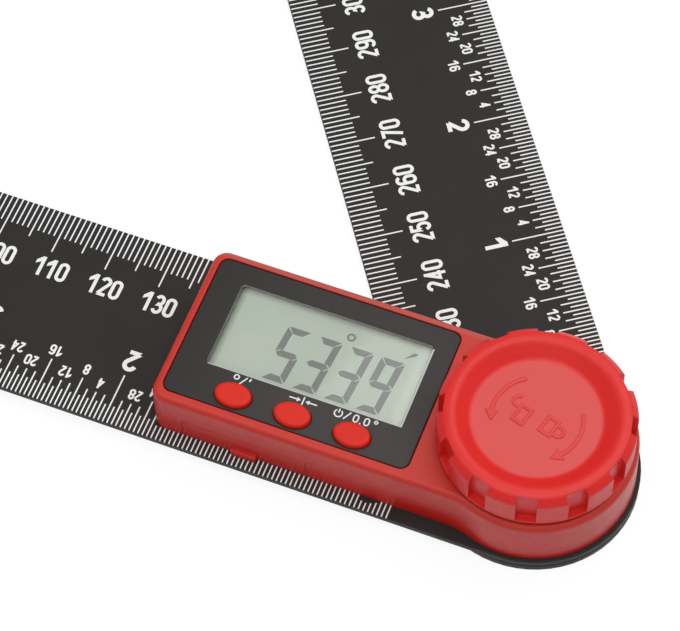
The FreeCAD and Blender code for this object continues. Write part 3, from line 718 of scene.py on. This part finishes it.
def arm_scales(name, body, top, turn, side, values, inch_start, number_shift, housing):
    """Millimetre and inch scales of one arm, with the millimetres on the given side."""
    metric = bmesh.new()
    imperial = bmesh.new()
    metric_numbers = []
    imperial_numbers = []

    def line(mesh, out, length, on_side):
        hidden_to = housing_half_width if out < housing else 0.0
        if mark_start <= out <= arm_reach - last_mark_inset:
            add_tick(mesh, out, length, on_side, hidden_to, top)
            return out > housing
        return False

    for value in values:
        out = abs(arm_reach - value)
        shown = line(metric, out, tick_length(mm_ticks, value), side)
        if shown and value % 10 == 0 and value % pivot_value:
            y = arm_half_width - mm_ticks[10] - mm_number_gap
            metric_numbers += number(str(value), mm_number, number_shift - out, side * y, side)
    for count in range(1, int(arm_reach / inch * inch_parts)):
        out = inch_start + inch * count / inch_parts
        length = tick_length(inch_ticks, count)
        if housing:
            length = short_inch_ticks.get(count, length)
        whole, part = divmod(count, inch_parts)
        if not line(imperial, out, length, -side) or part % 4 or out > arm_reach - arm_corner_r:
            continue
        style, gap = (fraction_number, fraction_gap) if part else (inch_number, inch_gap)
        y = arm_half_width - length - gap
        imperial_numbers += number(str(part or whole), style, -out, -side * y, -side)
    meshes = {
        "mm_lines": metric,
        "mm_numbers": thickened(metric_numbers, top, top + ink_thick),
        "inch_lines": imperial,
        "inch_numbers": thickened(imperial_numbers, top, top + ink_thick),
    }
    for part, mesh in meshes.items():
        bmesh.ops.recalc_face_normals(mesh, faces=mesh.faces)
        piece(name + "_" + part, mesh, body, ink_look, turn)


arm_scales(
    "base_arm", "base", base_top, turn=0.0, side=1, values=range(1, pivot_value),
    inch_start=base_inch_zero, number_shift=base_number_shift, housing=housing_hides,
)
arm_scales(
    "swing_arm", "swing", swing_top, turn=-rest_angle, side=-1,
    values=range(pivot_value + 1, 2 * pivot_value + 1),
    inch_start=swing_inch_zero, number_shift=0.0, housing=0.0,
)


# The reading on the display

def segments(lit, left, low):
    """Sheets of one seven-segment digit, leaning to the right."""
    w, h, t, g, i = segment_width, segment_height, segment_line, segment_gap, segment_bar_inset
    m = h / 2
    n = t / 2
    shapes = {
        "a": [(i, h), (t + g, h - t), (w - t - g, h - t), (w - i, h)],
        "d": [(i, 0), (w - i, 0), (w - t - g, t), (t + g, t)],
        "g": [(i, m), (n + i, m - n), (w - n - i, m - n), (w - i, m), (w - n - i, m + n), (n + i, m + n)],
        "f": [(0, h - i), (0, m + g + g), (n, m + n + g), (t, m + n + g), (t, h - t - g)],
        "e": [(0, i), (t, t + g), (t, m - n - g), (n, m - n - g), (0, m - g - g)],
        "b": [(w, h - i), (w - t, h - t - g), (w - t, m + n + g), (w - n, m + n + g), (w, m + g + g)],
        "c": [(w, i), (w, m - g - g), (w - n, m - n - g), (w - t, m - n - g), (w - t, t + g)],
    }
    lean = math.tan(math.radians(segment_lean))
    sheets = []
    for key in lit:
        sheets.append(joined([[(left + x + y * lean, low + y) for x, y in shapes[key]]]))
    return sheets


reading = []
for k, lit in enumerate(lit_segments):
    reading += segments(lit, segment_left + segment_pitch * k, segment_low)
reading.append(joined(circle(*degree_at, degree_r, degree_line, ring_steps)))
reading.append(joined([minute_mark]))
mesh = thickened(reading, display_top, display_top + segment_thick)
piece("display_reading", mesh, "base", segment_look)


# Signs printed on the panel above the buttons

def slash(x):
    """Slanted stroke between two signs."""
    return stroke([(x - slash_reach, sign_low), (x + slash_reach, sign_high)], sign_line)


def unit_sign():
    """Degree ring, slash and minute mark: the change between two ways of reading."""
    shapes = circle(unit_sign_x, sign_high - unit_ring_drop, unit_ring_r, sign_line, unit_ring_steps)
    shapes += slash(unit_slash_x)
    minute = [(unit_mark_x, sign_high), (unit_mark_x - unit_mark_lean, sign_high - unit_mark_drop)]
    return shapes + stroke(minute, unit_mark_line)


def hold_sign():
    """Two arrows that meet at a bar: the reading is held."""
    shapes = stroke([(hold_sign_x, sign_low), (hold_sign_x, sign_high)], sign_line)
    for way in (1, -1):
        tail = hold_sign_x - way * hold_arrow_reach
        neck = hold_sign_x - way * hold_arrow_neck
        tip = neck + way * hold_arrow_tip
        back = neck - way * hold_arrow_back
        barbs = [(back, sign_middle + hold_arrow_half), (back, sign_middle - hold_arrow_half)]
        shapes += stroke([(tail, sign_middle), (neck, sign_middle)], sign_line)
        shapes += [[(tip, sign_middle)] + barbs]
    return shapes


def power_and_zero_signs():
    """Power ring, slash and the dot and degree ring of a zero reading."""
    r = power_ring_r
    drop = power_ring_drop
    open_ring = arc(power_sign_x, sign_middle - drop, r, r, *power_ring_ends, power_ring_steps)
    shapes = stroke(open_ring, sign_line)
    shapes += stroke([(power_sign_x, sign_middle + drop), (power_sign_x, sign_high + drop)], sign_line)
    shapes += slash(zero_slash_x)
    shapes += circle(zero_ring_x, sign_high - zero_ring_drop, zero_ring_r, zero_ring_line, zero_ring_steps)
    dot = [(zero_dot_x, sign_low), (zero_dot_x + zero_dot_size, sign_low)]
    dot += [(x, sign_low + zero_dot_size) for x, _ in reversed(dot)]
    return shapes + [dot]


sheets = [joined(unit_sign()), joined(hold_sign()), joined(power_and_zero_signs())]
for x in zero_places:
    sheets += number("0", zero_number, x, sign_high, 1)
mesh = thickened(sheets, panel_top, panel_top + ink_thick)
piece("button_signs", mesh, "base", label_look)


# Floor, light and camera

def backdrop():
    """Pale floor that looks white and keeps the object's shadow."""
    mesh = bmesh.new()
    bmesh.ops.create_grid(mesh, x_segments=1, y_segments=1, size=floor_size)
    data = bpy.data.meshes.new("floor")
    mesh.to_mesh(data)
    mesh.free()
    floor = bpy.data.objects.new("floor", data)
    bpy.context.scene.collection.objects.link(floor)
    look = Look("floor_paper")
    look.feed("Base Color", (floor_bounce, floor_bounce, floor_bounce, 1.0))
    look.feed("Roughness", floor_rough)
    path = look.node("ShaderNodeLightPath")
    seen = look.larger(path.outputs["Is Camera Ray"], path.outputs["Is Glossy Ray"])
    seen = look.larger(seen, path.outputs["Is Transmission Ray"])
    shade = (floor_shade, floor_shade, floor_shade, 1.0)
    grey = look.node("ShaderNodeBsdfDiffuse", {"Color": shade}).outputs[0]
    white = (1.0, 1.0, 1.0, 1.0)
    glow = look.node("ShaderNodeEmission", {"Color": white, "Strength": floor_glow}).outputs[0]
    shown = look.node("ShaderNodeAddShader", {0: grey, 1: glow}).outputs[0]
    mixed = look.node("ShaderNodeMixShader", {0: seen, 1: look.surface.outputs[0], 2: shown}).outputs[0]
    look.tree.links.new(mixed, look.tree.nodes["Material Output"].inputs["Surface"])
    data.materials.append(look.material)


def world_light():
    """Even pale light from all round."""
    world = bpy.data.worlds.new("studio")
    bpy.context.scene.world = world
    world.use_nodes = True
    tree = world.node_tree
    path = tree.nodes.new("ShaderNodeLightPath")
    level = tree.nodes.new("ShaderNodeMapRange")
    way = tree.nodes.new("ShaderNodeTexCoord")
    split = tree.nodes.new("ShaderNodeSeparateXYZ")
    tree.links.new(way.outputs["Generated"], split.inputs["Vector"])
    sky = tree.nodes.new("ShaderNodeMapRange")
    sky.inputs["To Min"].default_value = sky_low
    sky.inputs["To Max"].default_value = sky_high
    tree.links.new(split.outputs["Z"], sky.inputs["Value"])
    level.inputs["To Max"].default_value = 1.0
    tree.links.new(sky.outputs["Result"], level.inputs["To Min"])
    tree.links.new(path.outputs["Is Camera Ray"], level.inputs["Value"])
    tree.links.new(level.outputs["Result"], tree.nodes["Background"].inputs["Strength"])
    tree.nodes["Background"].inputs["Color"].default_value = (1.0, 1.0, 1.0, 1.0)


def lamp(name, at, towards, size, power):
    """Square soft lamp at one place, facing another."""
    data = bpy.data.lights.new(name, "AREA")
    data.shape = "SQUARE"
    data.size = size
    data.energy = power
    item = bpy.data.objects.new(name, data)
    item.location = at
    item.rotation_euler = (Vector(towards) - Vector(at)).to_track_quat("-Z", "Y").to_euler()
    bpy.context.scene.collection.objects.link(item)


def camera():
    """Camera at the photograph's place."""
    data = bpy.data.cameras.new("camera")
    data.sensor_fit = "HORIZONTAL"
    data.sensor_width = camera_sensor
    data.lens = camera_lens
    data.clip_start = camera_near
    data.clip_end = camera_far
    item = bpy.data.objects.new("camera", data)
    right = Vector(camera_right)
    forward = Vector(camera_forward)
    up = right.cross(forward)
    turn = Matrix((right, up, -forward)).transposed().to_4x4()
    item.matrix_world = Matrix.Translation(camera_at) @ turn
    bpy.context.scene.collection.objects.link(item)
    bpy.context.scene.camera = item


backdrop()
world_light()
lamp("back_softbox", back_lamp_at, lamp_target, back_lamp_size, back_lamp_power)
lamp("front_softbox", front_lamp_at, lamp_target, front_lamp_size, front_lamp_power)
camera()
bpy.context.scene.view_settings.view_transform = "Standard"
